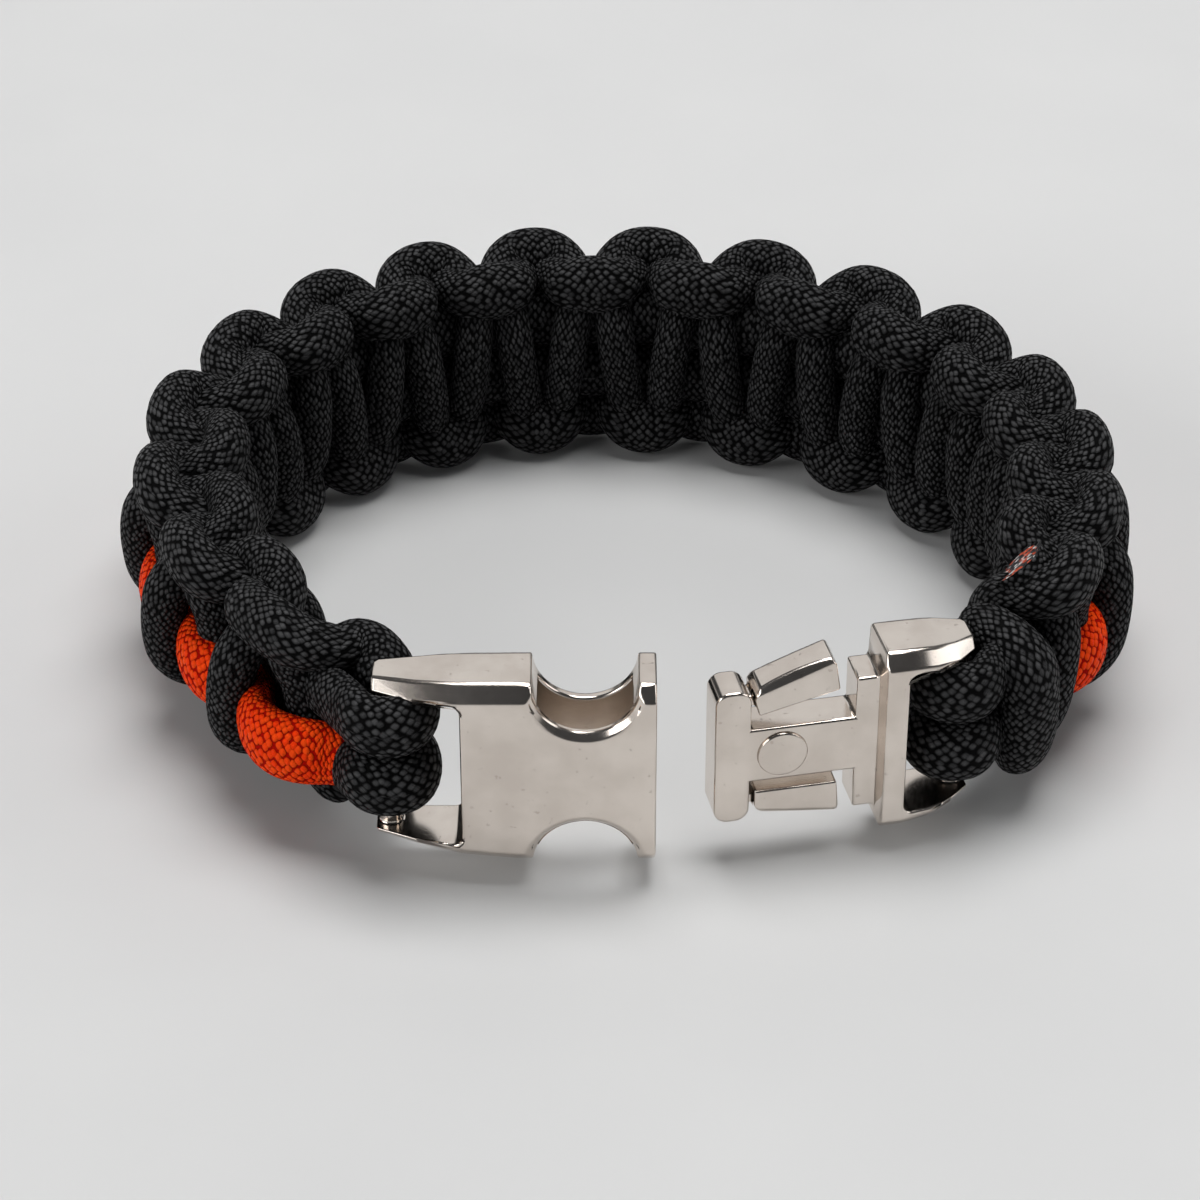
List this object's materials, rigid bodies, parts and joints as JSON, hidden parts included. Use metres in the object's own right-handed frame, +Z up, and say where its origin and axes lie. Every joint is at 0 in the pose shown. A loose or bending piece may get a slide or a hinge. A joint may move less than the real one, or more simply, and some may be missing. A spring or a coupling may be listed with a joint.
{
  "type": "knotted cord bracelet with side release buckle",
  "caption": "Knotted cord bracelet with a second cord woven along its outer face and an open metal side release buckle, lying on its side.",
  "frame": {"origin": "on the floor, under the middle of the bracelet as it lies on its side", "axes": "+Z up along the wrist's axis, the open buckle at -Y, its socket on the left at -X and its plug on the right"},
  "size_m": [0.082, 0.0714, 0.0199],
  "materials": {
    "black_cord": "braided nylon sheath",
    "orange_cord": "braided nylon sheath",
    "plated_metal": "polished nickel plate"
  },
  "bodies": {
    "bracelet": {"black_cord": "black_cord", "orange_cord": "orange_cord", "socket": "plated_metal", "plug_frame": "plated_metal", "pivot_rivet": "plated_metal"},
    "upper_release": {"upper_lever": "plated_metal"},
    "lower_release": {"lower_lever": "plated_metal"}
  },
  "joints": [
    {"name": "upper_lever_hinge", "type": "hinge", "parent": "bracelet", "child": "upper_release", "pos_m": [0.0084, -0.03095, 0.0144], "axis": [-0.2079, 0.9781, 0], "range_deg": [0, 20], "stiffness_Nm_per_rad": 0.01},
    {"name": "lower_lever_hinge", "type": "hinge", "parent": "bracelet", "child": "lower_release", "pos_m": [0.0084, -0.03095, 0.0056], "axis": [0.2079, -0.9781, 0], "range_deg": [-14, 6], "stiffness_Nm_per_rad": 0.01}
  ]
}
